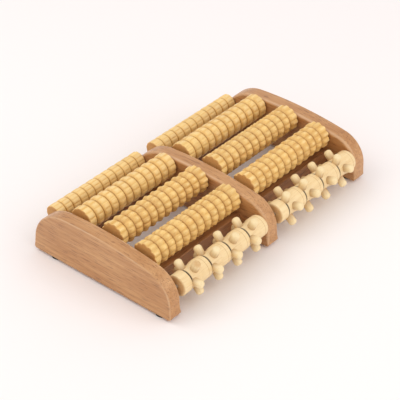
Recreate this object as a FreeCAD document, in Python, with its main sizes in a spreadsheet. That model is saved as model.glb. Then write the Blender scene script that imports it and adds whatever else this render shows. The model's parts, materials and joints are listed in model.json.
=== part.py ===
import FreeCAD, Part
import math
import os

import Sketcher
from FreeCAD import Placement, Rotation, Vector

# Wooden foot massage roller for two feet.
# Three upright side panels stand on rubber feet and are tied by four stretcher rails.
# Between them lie two bays of five rollers, each turning freely on its own steel axle.
# The rear four rollers of a bay are ring-toothed; the front one carries domed pegs.
# Frame: X runs along the rollers, -Y is the pegged front, Z is up from the floor.
# The origin is on the floor, under the middle of the whole object's box.

SIZES = {
    # side panels
    "panel_thickness": 15.0,
    "front_margin": 8.7,
    "rear_margin": 8.5,
    "panel_top": 52.9,
    "crown_radius": 430.0,
    "crown_back": 17.0,
    "front_shoulder_radius": 29.0,
    "rear_shoulder_radius": 40.0,
    "front_lean": 1.0,
    "rear_lean": 7.5,
    "inner_edge_round": 3.0,
    "outer_edge_round": 1.2,
    # bays and rollers
    "bay_clear": 122.5,
    "roller_left_gap": 4.0,
    "roller_right_gap": 1.2,
    "row_three_offset": -1.0,
    "spacing_one_two": 37.0,
    "spacing_two_three": 39.0,
    "spacing_three_four": 38.5,
    "spacing_four_five": 36.8,
    "row_one_drop": 20.1,
    "row_one_radius": 9.2,
    "row_two_drop": 9.5,
    "row_two_radius": 12.8,
    "row_three_drop": 8.3,
    "row_three_radius": 14.0,
    "row_four_drop": 12.3,
    "row_four_radius": 14.4,
    "row_five_drop": 26.4,
    "row_five_radius": 10.8,
    # turned rings of the toothed rollers
    "ring_count": 12.0,
    "ring_groove_depth": 2.6,
    "ring_groove_width": 4.2,
    "roller_end_chamfer": 1.2,
    # flutes that cut the rings into teeth
    "flute_count": 12.0,
    "flute_depth": 2.2,
    "flute_width": 3.6,
    # pegged rollers
    "end_disc_length": 10.8,
    "segment_count": 4.0,
    "waist_length": 12.0,
    "waist_ramp": 4.0,
    "waist_depth": 0.7,
    "burnt_groove_depth": 1.3,
    "burnt_groove_width": 1.2,
    "peg_row_offset": 2.6,
    "peg_row_spacing": 6.2,
    "pegs_in_row": 3.0,
    "left_peg_angle": -37.0,
    "right_peg_angle": 13.0,
    "peg_radius": 4.0,
    "peg_reach": 19.3,
    "peg_web": 0.7,
    # axles
    "axle_radius": 2.0,
    "axle_seat": 5.5,
    "axle_end_clearance": 0.3,
    "axle_seat_clearance": 0.02,
    "bore_clearance": 0.08,
    # stretcher rails and their dowels
    "rail_thickness": 11.0,
    "rail_height": 20.0,
    "rail_below_row_four": 1.0,
    "rail_ahead_of_row_four": 6.0,
    "rail_edge_round": 0.8,
    "dowel_radius": 2.5,
    "dowel_spacing": 9.0,
    "dowel_in_rail": 12.0,
    "dowel_seat": 6.0,
    "dowel_end_clearance": 0.3,
    "dowel_clearance": 0.02,
    # rubber feet
    "foot_height": 2.5,
    "foot_radius": 7.0,
    "foot_chamfer": 0.5,
    "foot_front_inset": 15.0,
    "foot_rear_inset": 24.5,
}

ROWS = ["one", "two", "three", "four", "five"]
TOOTHED_ROWS = ["one", "two", "three", "four"]
BAYS = {"left": -1, "right": 1}
PEG_ROWS = [0, 1]


def peg_angles(bay, row):
    """Angles of one row's pegs in degrees, from straight up towards the front.

    A segment's second row stands half a step round from its first, so they zigzag.
    """
    step = 360.0 / SIZES["pegs_in_row"]
    first = SIZES["%s_peg_angle" % bay] + row * step / 2
    return [first + step * i for i in range(int(SIZES["pegs_in_row"]))]


def peg_seat():
    """Distance from the axis to the pegs' inner ends, where they are a web apart.

    Two neighbours in a row, and two in different rows, both leave that web.
    """
    apart = 2 * SIZES["peg_radius"] + SIZES["peg_web"]
    half_step = math.radians(90.0 / SIZES["pegs_in_row"])
    across_rows = math.sqrt(max(0.0, apart**2 - SIZES["peg_row_spacing"] ** 2))
    return max(across_rows / math.sin(half_step), apart / math.sin(2 * half_step)) / 2


def row_places():
    """Y of each row's axis from the rows' datum, and its height above the floor."""
    three = SIZES["row_three_offset"]
    two = three + SIZES["spacing_two_three"]
    one = two + SIZES["spacing_one_two"]
    four = three - SIZES["spacing_three_four"]
    five = four - SIZES["spacing_four_five"]
    places = {}
    for row, y in zip(ROWS, (one, two, three, four, five)):
        places["row_%s_y" % row] = y
        places["row_%s_height" % row] = SIZES["panel_top"] - SIZES["row_%s_drop" % row]
    return places


def worked_out():
    """Places that follow from the driving dimensions, so they move with them.

    The panels end a margin past the outer axles, the rails hang below and ahead of
    the rows they pass, and the feet are inset from the panels' ends. The object's
    box runs from the foremost peg, or the panels, to the rearmost roller or panel.
    """
    places = row_places()
    places["panel_front_reach"] = SIZES["front_margin"] - places["row_five_y"]
    places["panel_rear_reach"] = SIZES["rear_margin"] + places["row_one_y"]
    gaps = SIZES["roller_left_gap"] + SIZES["roller_right_gap"]
    places["roller_length"] = SIZES["bay_clear"] - gaps
    places["roller_shift"] = (SIZES["roller_left_gap"] - SIZES["roller_right_gap"]) / 2
    segments_length = places["roller_length"] - SIZES["end_disc_length"]
    places["segment_pitch"] = segments_length / SIZES["segment_count"]
    underside = places["row_four_height"] - SIZES["row_four_radius"]
    places["rail_top"] = underside - SIZES["rail_below_row_four"]
    places["front_rail_y"] = places["row_four_y"] - SIZES["rail_ahead_of_row_four"]
    places["rear_rail_y"] = (places["row_one_y"] + places["row_two_y"]) / 2
    places["foot_front_y"] = SIZES["foot_front_inset"] - places["panel_front_reach"]
    places["foot_rear_y"] = places["panel_rear_reach"] - SIZES["foot_rear_inset"]
    places["peg_seat"] = peg_seat()
    angles = [angle for bay in BAYS for row in PEG_ROWS for angle in peg_angles(bay, row)]
    dome_centre = SIZES["peg_reach"] - SIZES["peg_radius"]
    forward = max(math.sin(math.radians(angle)) for angle in angles) * dome_centre
    foremost_peg = places["row_five_y"] - forward - SIZES["peg_radius"]
    front = min(foremost_peg, -places["panel_front_reach"])
    rear = max(places["row_one_y"] + SIZES["row_one_radius"], places["panel_rear_reach"])
    places["box_middle_y"] = (front + rear) / 2
    return places


doc = FreeCAD.newDocument("foot_massage_roller")
sheet = doc.addObject("Spreadsheet::Sheet", "layout")
cells = dict(SIZES)
cells.update(worked_out())
for row_number, (alias, number) in enumerate(cells.items(), start=1):
    sheet.set("A%d" % row_number, alias)
    sheet.set("B%d" % row_number, repr(number))
    sheet.setAlias("B%d" % row_number, alias)
doc.recompute()

# Lengths that several pieces share, written once as expressions on the sheet.
PANEL_PITCH = "(layout.bay_clear + layout.panel_thickness)"
RING_PITCH = "(layout.roller_length / layout.ring_count)"
BORE_RADIUS = "(layout.axle_radius + layout.bore_clearance)"
RAIL_MIDDLE = "(layout.rail_top - layout.rail_height / 2)"

subparts = []


def size(name):
    """Value of one driving dimension, read back from the sheet."""
    return float(getattr(sheet, name))


def bay_centre(bay):
    """Expression for the X of a bay's middle."""
    return "%d * %s / 2" % (BAYS[bay], PANEL_PITCH)


def roller_middle(bay):
    """X of a roller's middle: the rollers stand slid towards the right of their bay."""
    return "%s + layout.roller_shift" % bay_centre(bay)


def place(item, x, y, z):
    """Tie an object's position to expressions; Y is counted from the panels' middle."""
    item.setExpression("Placement.Base.x", x)
    item.setExpression("Placement.Base.y", "%s - layout.box_middle_y" % y)
    item.setExpression("Placement.Base.z", z)


def keep(item, label):
    """Name a finished sub-part; its label becomes the name of its file."""
    item.Label = label
    subparts.append(item)
    return item


def origin_feature(body, role):
    """One of a body's own origin planes or axes."""
    return [item for item in body.Origin.OriginFeatures if item.Role == role][0]


def new_sketch(body, name, role, height=None):
    """Sketch on one of a body's own planes, lifted along the plane's normal."""
    sketch = body.newObject("Sketcher::SketchObject", name)
    sketch.AttachmentSupport = (origin_feature(body, role), [""])
    sketch.MapMode = "FlatFace"
    if height is not None:
        sketch.setExpression("AttachmentOffset.Base.z", height)
    return sketch


def pin(sketch, geometry, point, across, up):
    """Hold one point of a sketch at two expressions from the sketch's origin."""
    for kind, expression in (("DistanceX", across), ("DistanceY", up)):
        index = sketch.addConstraint(Sketcher.Constraint(kind, geometry, point, 1.0))
        sketch.setExpression("Constraints[%d]" % index, expression)


def polygon(sketch, corners):
    """Closed outline whose corners are pairs of expressions."""
    count = len(corners)
    turns = [2 * math.pi * i / count for i in range(count)]
    spots = [Vector(10 * math.cos(turn), 10 * math.sin(turn), 0) for turn in turns]
    for i in range(count):
        sketch.addGeometry(Part.LineSegment(spots[i], spots[(i + 1) % count]), False)
    for i in range(count):
        sketch.addConstraint(Sketcher.Constraint("Coincident", i, 2, (i + 1) % count, 1))
    for i, (across, up) in enumerate(corners):
        pin(sketch, i, 1, across, up)


def circle(sketch, across, up, radius):
    """Circle whose centre and radius are expressions."""
    geometry = sketch.addGeometry(Part.Circle(Vector(1, 1, 0), Vector(0, 0, 1), 1.0), False)
    index = sketch.addConstraint(Sketcher.Constraint("Radius", geometry, 1.0))
    sketch.setExpression("Constraints[%d]" % index, radius)
    pin(sketch, geometry, 3, across, up)


def require_change(body, before, grows):
    """Stop if the newest feature of a body did not add or take away material."""
    doc.recompute()
    change = body.Shape.Volume - before
    if (change <= 1e-6) if grows else (change >= -1e-6):
        raise RuntimeError("%s: the last feature changed nothing" % body.Name)


def cut_holes(body, sketch, depth, reverse):
    """Blind holes from a sketch into the body; they have to take material away."""
    doc.recompute()
    before = body.Shape.Volume
    pocket = body.newObject("PartDesign::Pocket", sketch.Name + "_cut")
    pocket.Profile = sketch
    pocket.Reversed = reverse
    pocket.setExpression("Length", depth)
    require_change(body, before, False)
    return pocket


def cut_ring(body, name, corners):
    """Groove turned into a roller; its outline is corners along and out from the axis."""
    doc.recompute()
    before = body.Shape.Volume
    sketch = new_sketch(body, name + "_outline", "XY_Plane")
    polygon(sketch, corners)
    groove = body.newObject("PartDesign::Groove", name)
    groove.Profile = sketch
    groove.ReferenceAxis = (sketch, ["H_Axis"])
    groove.Angle = 360
    require_change(body, before, False)
    return groove


def repeat_along(body, feature, name, length, count):
    """Repeat a feature in line with the roller's axis."""
    before = body.Shape.Volume
    pattern = body.newObject("PartDesign::LinearPattern", name)
    pattern.Originals = [feature]
    pattern.Direction = (origin_feature(body, "X_Axis"), [""])
    pattern.setExpression("Length", length)
    pattern.setExpression("Occurrences", count)
    body.Tip = pattern
    require_change(body, before, False)
    return pattern


def repeat_around(body, feature, name, count):
    """Repeat a feature all the way round the roller's axis."""
    before = body.Shape.Volume
    pattern = body.newObject("PartDesign::PolarPattern", name)
    pattern.Originals = [feature]
    pattern.Axis = (origin_feature(body, "X_Axis"), [""])
    pattern.Angle = 360
    pattern.setExpression("Occurrences", count)
    body.Tip = pattern
    require_change(body, before, False)
    return pattern


# ---------------------------------------------------------------- side panels


def shoulder(side, lean, radius):
    """Centre and both tangent points of the round between an end and the crown.

    The end leans inwards from the vertical, and the crown is one wide arc, so the
    round's centre is one radius in from the end and lies inside the crown by as much.
    """
    reach = size("panel_front_reach") if side < 0 else size("panel_rear_reach")
    crown_centre = Vector(size("crown_back"), size("panel_top") - size("crown_radius"), 0)
    along_end = Vector(-side * math.sin(lean), math.cos(lean), 0)
    inward = Vector(-side * math.cos(lean), -math.sin(lean), 0)
    start = Vector(side * reach, size("foot_height"), 0) + inward * radius
    offset = start - crown_centre
    span = size("crown_radius") - radius
    half = offset.dot(along_end)
    travel = -half + math.sqrt(half * half - offset.dot(offset) + span * span)
    centre = start + along_end * travel
    on_end = centre - inward * radius
    on_crown = crown_centre + (centre - crown_centre).normalize() * size("crown_radius")
    return centre, on_end, on_crown, crown_centre


def arc_between(centre, radius, first, last):
    """Arc from one point to another, anticlockwise about its centre."""
    angles = [math.atan2(point.y - centre.y, point.x - centre.x) for point in (first, last)]
    return Part.ArcOfCircle(Part.Circle(centre, Vector(0, 0, 1), radius), *angles)


def panel_outline(sketch):
    """Flat foot line, two leaning ends, two round shoulders and a gently arched crown."""
    front_lean = math.radians(size("front_lean"))
    rear_lean = math.radians(size("rear_lean"))
    front_radius = size("front_shoulder_radius")
    rear_radius = size("rear_shoulder_radius")
    front_centre, front_end, front_crown, crown_centre = shoulder(-1, front_lean, front_radius)
    rear_centre, rear_end, rear_crown, _ = shoulder(1, rear_lean, rear_radius)
    front_foot = Vector(-size("panel_front_reach"), size("foot_height"), 0)
    rear_foot = Vector(size("panel_rear_reach"), size("foot_height"), 0)
    base, rear, rear_arc, crown, front_arc, front = range(6)
    sketch.addGeometry(Part.LineSegment(front_foot, rear_foot), False)
    sketch.addGeometry(Part.LineSegment(rear_foot, rear_end), False)
    sketch.addGeometry(arc_between(rear_centre, rear_radius, rear_end, rear_crown), False)
    sketch.addGeometry(
        arc_between(crown_centre, size("crown_radius"), rear_crown, front_crown), False
    )
    sketch.addGeometry(arc_between(front_centre, front_radius, front_crown, front_end), False)
    sketch.addGeometry(Part.LineSegment(front_end, front_foot), False)
    sketch.addConstraint(Sketcher.Constraint("Coincident", base, 2, rear, 1))
    sketch.addConstraint(Sketcher.Constraint("Coincident", front, 2, base, 1))
    for first, second in ((rear, rear_arc), (rear_arc, crown), (crown, front_arc)):
        sketch.addConstraint(Sketcher.Constraint("Tangent", first, 2, second, 1))
    sketch.addConstraint(Sketcher.Constraint("Tangent", front_arc, 2, front, 1))
    pin(sketch, base, 1, "-layout.panel_front_reach", "layout.foot_height")
    pin(sketch, base, 2, "layout.panel_rear_reach", "layout.foot_height")
    pin(sketch, crown, 3, "layout.crown_back", "layout.panel_top - layout.crown_radius")
    for arc, radius in (
        (crown, "layout.crown_radius"),
        (rear_arc, "layout.rear_shoulder_radius"),
        (front_arc, "layout.front_shoulder_radius"),
    ):
        index = sketch.addConstraint(Sketcher.Constraint("Radius", arc, 1.0))
        sketch.setExpression("Constraints[%d]" % index, radius)
    for line, angle in (
        (rear, "(90 + layout.rear_lean) * 1 deg"),
        (front, "(270 - layout.front_lean) * 1 deg"),
    ):
        index = sketch.addConstraint(Sketcher.Constraint("Angle", line, 1.0))
        sketch.setExpression("Constraints[%d]" % index, angle)


def sockets(body, side):
    """Blind holes for the five axles and the rails' dowels in one face of a panel."""
    axle_sketch = new_sketch(
        body, "axle_sockets_%d" % (side + 1), "YZ_Plane", "%d * layout.panel_thickness / 2" % side
    )
    for row in ROWS:
        circle(
            axle_sketch,
            "layout.row_%s_y" % row,
            "layout.row_%s_height" % row,
            "layout.axle_radius + layout.axle_seat_clearance",
        )
    cut_holes(body, axle_sketch, "layout.axle_seat", side < 0)
    dowel_sketch = new_sketch(
        body, "dowel_sockets_%d" % (side + 1), "YZ_Plane", "%d * layout.panel_thickness / 2" % side
    )
    for rail in ("front", "rear"):
        for step in (-1, 1):
            circle(
                dowel_sketch,
                "layout.%s_rail_y" % rail,
                "%s + %d * layout.dowel_spacing / 2" % (RAIL_MIDDLE, step),
                "layout.dowel_radius + layout.dowel_clearance",
            )
    cut_holes(body, dowel_sketch, "layout.dowel_seat", side < 0)


def face_edges(body, side):
    """Names of the edges round one face of a panel, without the one on its foot line."""
    names = []
    for number, edge in enumerate(body.Shape.Edges, start=1):
        box = edge.BoundBox
        in_face = box.XLength < 1e-4 and abs(box.XMin - side * size("panel_thickness") / 2) < 1e-4
        on_foot_line = box.ZMax < size("foot_height") + 1e-4
        if in_face and not on_foot_line:
            names.append("Edge%d" % number)
    return names


def side_panel(label, offset, faces):
    """One upright panel; faces lists which sides carry sockets, -1 left and 1 right."""
    body = doc.addObject("PartDesign::Body", label)
    outline = new_sketch(body, label + "_outline", "YZ_Plane")
    panel_outline(outline)
    board = body.newObject("PartDesign::Pad", label + "_board")
    board.Profile = outline
    board.Midplane = True
    board.setExpression("Length", "layout.panel_thickness")
    doc.recompute()
    base = board
    for side in (-1, 1):
        before = body.Shape.Volume
        rounding = body.newObject("PartDesign::Fillet", "%s_rounding_%d" % (label, side + 1))
        rounding.Base = (base, face_edges(body, side))
        radius = "layout.inner_edge_round" if side in faces else "layout.outer_edge_round"
        rounding.setExpression("Radius", radius)
        require_change(body, before, False)
        base = rounding
    for side in faces:
        sockets(body, side)
    place(body, "%d * %s" % (offset, PANEL_PITCH), "0", "0")
    return keep(body, label)


# -------------------------------------------------------------------- rollers


def turned_blank(body, name, radius):
    """Roller with chamfered ends and the bore for its axle, turned about X."""
    sketch = new_sketch(body, name + "_profile", "XY_Plane")
    half = "layout.roller_length / 2"
    chamfer = "layout.roller_end_chamfer"
    polygon(sketch, [
        ("-%s" % half, BORE_RADIUS),
        (half, BORE_RADIUS),
        (half, "%s - %s" % (radius, chamfer)),
        ("%s - %s" % (half, chamfer), radius),
        ("-%s + %s" % (half, chamfer), radius),
        ("-%s" % half, "%s - %s" % (radius, chamfer)),
    ])
    blank = body.newObject("PartDesign::Revolution", name + "_blank")
    blank.Profile = sketch
    blank.ReferenceAxis = (sketch, ["H_Axis"])
    blank.Angle = 360
    require_change(body, 0.0, True)
    return blank


def toothed_roller(label, bay, row):
    """Roller with turned V-grooves between its rings and flutes along it."""
    radius = "layout.row_%s_radius" % row
    body = doc.addObject("PartDesign::Body", label)
    turned_blank(body, label, radius)
    first = "(-layout.roller_length / 2 + %s)" % RING_PITCH
    half_width = "layout.ring_groove_width / 2"
    over = "%s + layout.ring_groove_depth" % radius
    groove = cut_ring(body, label + "_ring_groove", [
        ("%s - 2 * %s" % (first, half_width), over),
        (first, "%s - layout.ring_groove_depth" % radius),
        ("%s + 2 * %s" % (first, half_width), over),
    ])
    repeat_along(
        body, groove, label + "_rings", "%s * (layout.ring_count - 2)" % RING_PITCH, "layout.ring_count - 1"
    )
    flute_sketch = new_sketch(
        body, label + "_flute_outline", "YZ_Plane", "-layout.roller_length / 2"
    )
    flute_top = "%s + layout.flute_depth" % radius
    polygon(flute_sketch, [
        ("-layout.flute_width", flute_top),
        ("0", "%s - layout.flute_depth" % radius),
        ("layout.flute_width", flute_top),
    ])
    flute = cut_holes(body, flute_sketch, "layout.roller_length", True)
    repeat_around(body, flute, label + "_flutes", "layout.flute_count")
    place(body, roller_middle(bay), "layout.row_%s_y" % row, "layout.row_%s_height" % row)
    return keep(body, label)


def pegged_roller(label, bay):
    """Smooth roller with waisted segments, burnt lines and zigzag rows of peg holes."""
    radius = "layout.row_five_radius"
    body = doc.addObject("PartDesign::Body", label)
    turned_blank(body, label, radius)
    line = "(-layout.roller_length / 2 + layout.end_disc_length)"
    span = "layout.segment_pitch * (layout.segment_count - 1)"
    waist = cut_ring(body, label + "_waist", [
        (line, "%s + layout.waist_depth" % radius),
        (line, "%s - layout.waist_depth" % radius),
        ("%s + layout.waist_length" % line, "%s - layout.waist_depth" % radius),
        ("%s + layout.waist_length + 2 * layout.waist_ramp" % line, "%s + layout.waist_depth" % radius),
    ])
    repeat_along(body, waist, label + "_waists", span, "layout.segment_count")
    over = "%s + layout.burnt_groove_depth" % radius
    burnt = cut_ring(body, label + "_burnt_line", [
        ("%s - layout.burnt_groove_width" % line, over),
        (line, "%s - layout.burnt_groove_depth" % radius),
        ("%s + layout.burnt_groove_width" % line, over),
    ])
    repeat_along(body, burnt, label + "_burnt_lines", span, "layout.segment_count")
    for row, upward in zip(PEG_ROWS, (1, -1)):
        holes = new_sketch(
            body, "%s_peg_holes_%d" % (label, row), "XY_Plane", "%d * layout.peg_seat" % upward
        )
        offset = "%s + layout.peg_row_offset + %d * layout.peg_row_spacing" % (line, row)
        for segment in range(int(size("segment_count"))):
            along = "%s + %d * layout.segment_pitch" % (offset, segment)
            circle(holes, along, "0", "layout.peg_radius")
        drilled = cut_holes(body, holes, "layout.peg_reach", upward > 0)
        repeat_around(body, drilled, "%s_peg_row_%d" % (label, row), "layout.pegs_in_row")
    place(body, roller_middle(bay), "layout.row_five_y", "layout.row_five_height")
    turn = bay + "_peg_angle"
    body.setExpression("Placement.Rotation.Angle", "layout.%s * 1 deg" % turn)
    body.Placement = Placement(body.Placement.Base, Rotation(Vector(1, 0, 0), size(turn)))
    return keep(body, label)


def domed_peg(radius, inner, reach):
    """One peg standing up along Z, with a half-round head."""
    shank = Part.makeCylinder(radius, reach - radius - inner, Vector(0, 0, inner))
    head = Part.makeSphere(radius, Vector(0, 0, reach - radius))
    return shank.fuse(head).removeSplitter()


def peg_set(label, bay):
    """All pegs of one roller, as separate solids seated in its holes."""
    peg = domed_peg(size("peg_radius"), size("peg_seat"), size("peg_reach"))
    first = size("end_disc_length") - size("roller_length") / 2 + size("peg_row_offset")
    pegs = []
    for segment in range(int(size("segment_count"))):
        for row in PEG_ROWS:
            along = first + segment * size("segment_pitch") + row * size("peg_row_spacing")
            for angle in peg_angles(bay, row):
                turned = peg.copy()
                turned.Placement = Placement(Vector(along, 0, 0), Rotation(Vector(1, 0, 0), angle))
                pegs.append(turned)
    item = doc.addObject("Part::Feature", label)
    item.Shape = Part.makeCompound(pegs)
    place(item, roller_middle(bay), "layout.row_five_y", "layout.row_five_height")
    return keep(item, label)


# --------------------------------------------------- axles, rails, dowels, feet


def axle(label, bay, row):
    """Steel rod through one roller, seated in a blind hole at each end."""
    rod = doc.addObject("Part::Cylinder", label)
    seated = "(layout.axle_seat - layout.axle_end_clearance)"
    rod.setExpression("Radius", "layout.axle_radius")
    rod.setExpression("Height", "layout.bay_clear + 2 * %s" % seated)
    rod.Placement = Placement(Vector(0, 0, 0), Rotation(Vector(0, 1, 0), 90))
    start = "%s - layout.bay_clear / 2 - %s" % (bay_centre(bay), seated)
    place(rod, start, "layout.row_%s_y" % row, "layout.row_%s_height" % row)
    return keep(rod, label)


def stretcher_rail(label, bay, rail):
    """Rectangular rail between two panels, with two dowel holes in each end."""
    body = doc.addObject("PartDesign::Body", label)
    section = new_sketch(body, label + "_section", "YZ_Plane")
    half_thickness = "layout.rail_thickness / 2"
    half_height = "layout.rail_height / 2"
    polygon(section, [
        ("-" + half_thickness, "-" + half_height),
        (half_thickness, "-" + half_height),
        (half_thickness, half_height),
        ("-" + half_thickness, half_height),
    ])
    bar = body.newObject("PartDesign::Pad", label + "_bar")
    bar.Profile = section
    bar.Midplane = True
    bar.setExpression("Length", "layout.bay_clear")
    doc.recompute()
    before = body.Shape.Volume
    long_edges = [
        "Edge%d" % number
        for number, edge in enumerate(body.Shape.Edges, start=1)
        if edge.BoundBox.XLength > size("bay_clear") / 2
    ]
    rounding = body.newObject("PartDesign::Fillet", label + "_rounding")
    rounding.Base = (bar, long_edges)
    rounding.setExpression("Radius", "layout.rail_edge_round")
    require_change(body, before, False)
    holes = new_sketch(body, label + "_dowel_holes", "YZ_Plane", "layout.bay_clear / 2")
    for step in (-1, 1):
        circle(
            holes,
            "0",
            "%d * layout.dowel_spacing / 2" % step,
            "layout.dowel_radius + layout.dowel_clearance",
        )
    drilled = cut_holes(body, holes, "layout.dowel_in_rail", False)
    before = body.Shape.Volume
    mirrored = body.newObject("PartDesign::Mirrored", label + "_far_holes")
    mirrored.Originals = [drilled]
    mirrored.MirrorPlane = (origin_feature(body, "YZ_Plane"), [""])
    body.Tip = mirrored
    require_change(body, before, False)
    place(body, bay_centre(bay), "layout.%s_rail_y" % rail, RAIL_MIDDLE)
    return keep(body, label)


def rail_dowels(label):
    """Beech dowels that join every rail end to its panel, as separate solids."""
    in_panel = size("dowel_seat") - size("dowel_end_clearance")
    in_rail = size("dowel_in_rail") - size("dowel_end_clearance")
    rail_middle = size("rail_top") - size("rail_height") / 2
    pitch = size("bay_clear") + size("panel_thickness")
    dowels = []
    for bay in BAYS.values():
        for end in (-1, 1):
            face = bay * pitch / 2 + end * size("bay_clear") / 2
            for rail in ("front", "rear"):
                for step in (-1, 1):
                    dowels.append(Part.makeCylinder(
                        size("dowel_radius"),
                        in_panel + in_rail,
                        Vector(
                            face + end * in_panel,
                            size(rail + "_rail_y"),
                            rail_middle + step * size("dowel_spacing") / 2,
                        ),
                        Vector(-end, 0, 0),
                    ))
    item = doc.addObject("Part::Feature", label)
    item.Shape = Part.makeCompound(dowels)
    place(item, "0", "0", "0")
    return keep(item, label)


def rubber_foot(label, offset, spot):
    """Round pad under a panel, chamfered round its floor edge."""
    disc = doc.addObject("Part::Cylinder", label + "_disc")
    disc.setExpression("Radius", "layout.foot_radius")
    disc.setExpression("Height", "layout.foot_height")
    place(disc, "%d * %s" % (offset, PANEL_PITCH), "layout.foot_%s_y" % spot, "0")
    doc.recompute()
    floor_edges = [
        number
        for number, edge in enumerate(disc.Shape.Edges, start=1)
        if edge.BoundBox.ZMax < size("foot_height") / 2
    ]
    foot = doc.addObject("Part::Chamfer", label)
    foot.Base = disc
    foot.Edges = [(number, size("foot_chamfer"), size("foot_chamfer")) for number in floor_edges]
    return keep(foot, label)


# --------------------------------------------------------------------- assembly

side_panel("left_side_panel", -1, [1])
side_panel("middle_panel", 0, [-1, 1])
side_panel("right_side_panel", 1, [-1])

for bay_name in BAYS:
    for row_index, row_name in enumerate(TOOTHED_ROWS, start=1):
        toothed_roller("%s_toothed_roller_%d" % (bay_name, row_index), bay_name, row_name)
    pegged_roller("%s_pegged_roller" % bay_name, bay_name)
    peg_set("%s_pegs" % bay_name, bay_name)
    for row_index, row_name in enumerate(ROWS, start=1):
        axle("%s_axle_%d" % (bay_name, row_index), bay_name, row_name)
    for rail_name in ("front", "rear"):
        stretcher_rail("%s_%s_rail" % (bay_name, rail_name), bay_name, rail_name)

rail_dowels("rail_dowels")

for panel_name, panel_offset in (("left", -1), ("middle", 0), ("right", 1)):
    for foot_spot in ("front", "rear"):
        rubber_foot("%s_%s_foot" % (panel_name, foot_spot), panel_offset, foot_spot)

doc.recompute()

for item in doc.Objects:
    if "Invalid" in item.State or "Error" in item.State:
        raise RuntimeError("%s did not recompute: %s" % (item.Name, item.State))
for item in subparts:
    if item.Shape.isNull() or not item.Shape.isValid() or item.Shape.Volume <= 0:
        raise RuntimeError("%s has no sound shape" % item.Label)

os.makedirs("parts", exist_ok=True)
for item in subparts:
    item.Shape.exportStep("parts/%s.step" % item.Label)
print("wrote %d sub-parts" % len(subparts))
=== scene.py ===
"""Wooden foot massage roller for two feet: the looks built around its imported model.

Three upright beech panels stand on rubber feet and are tied by dark stained rails.
Between them lie two bays of turned rollers: four with cut teeth and one with pegs.
Lengths in the classes are millimetres, and every mesh is written in metres.
"""

from __future__ import annotations

import json
import logging
import math
from dataclasses import dataclass, field
from enum import Enum
from typing import Any, Sequence

import bmesh
import bpy
import numpy as np
from mathutils import Matrix, Vector
from mathutils.geometry import tessellate_polygon


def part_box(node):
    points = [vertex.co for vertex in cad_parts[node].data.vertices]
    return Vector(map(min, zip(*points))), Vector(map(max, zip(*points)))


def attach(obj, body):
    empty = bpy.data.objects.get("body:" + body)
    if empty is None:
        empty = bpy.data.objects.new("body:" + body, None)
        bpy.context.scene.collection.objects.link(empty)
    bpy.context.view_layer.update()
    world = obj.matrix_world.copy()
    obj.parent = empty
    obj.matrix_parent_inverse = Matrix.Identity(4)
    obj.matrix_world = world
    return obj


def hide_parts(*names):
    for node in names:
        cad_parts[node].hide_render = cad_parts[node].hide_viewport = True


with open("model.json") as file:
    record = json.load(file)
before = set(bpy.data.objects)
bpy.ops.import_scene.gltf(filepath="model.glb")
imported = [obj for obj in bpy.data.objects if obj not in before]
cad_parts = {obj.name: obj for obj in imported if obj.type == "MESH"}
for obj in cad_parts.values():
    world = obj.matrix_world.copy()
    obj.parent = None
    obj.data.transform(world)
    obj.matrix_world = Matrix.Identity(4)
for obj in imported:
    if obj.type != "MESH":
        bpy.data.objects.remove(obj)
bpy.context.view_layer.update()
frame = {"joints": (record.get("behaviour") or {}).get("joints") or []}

LOG = logging.getLogger("foot_massage_roller")
MM = 0.001
TURN = 2 * math.pi
Colour = tuple[float, float, float]


# ----------------------------------------------------------------- shader maths


def tone(red: int, green: int, blue: int) -> Colour:
    """Turns a colour as a paint chart gives it, 0 to 255, into linear light.

    Args:
        red, green, blue: the display values.

    Returns:
        The three linear values, each from 0 to 1.
    """
    return tuple(
        value / 12.92 if value <= 0.04045 else ((value + 0.055) / 1.055) ** 2.4
        for value in (red / 255, green / 255, blue / 255)
    )


class Value:
    """One number of a shader, so that sums of numbers are written as sums."""

    def __init__(self, shader: Shader, socket: bpy.types.NodeSocket) -> None:
        """Wraps a socket of a shader's tree."""
        self.shader = shader
        self.socket = socket

    def _maths(self, operation: str, first: Any, second: Any = None) -> Value:
        """Adds a Math node for one operation on two numbers."""
        inputs = {0: first} if second is None else {0: first, 1: second}
        return self.shader.add("ShaderNodeMath", {"operation": operation}, inputs)

    def __add__(self, other: Any) -> Value:
        """The sum of two numbers."""
        return self._maths("ADD", self, other)

    def __sub__(self, other: Any) -> Value:
        """This number less another."""
        return self._maths("SUBTRACT", self, other)

    def __rsub__(self, other: Any) -> Value:
        """Another number less this one."""
        return self._maths("SUBTRACT", other, self)

    def __mul__(self, other: Any) -> Value:
        """The product of two numbers."""
        return self._maths("MULTIPLY", self, other)

    __radd__ = __add__
    __rmul__ = __mul__


@dataclass(frozen=True)
class Figure:
    """One noise of a finish: stretch along the grain, cells to the metre, and detail."""

    stretch: float
    scale: float
    detail: float
    rough: float = 0.5


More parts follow.
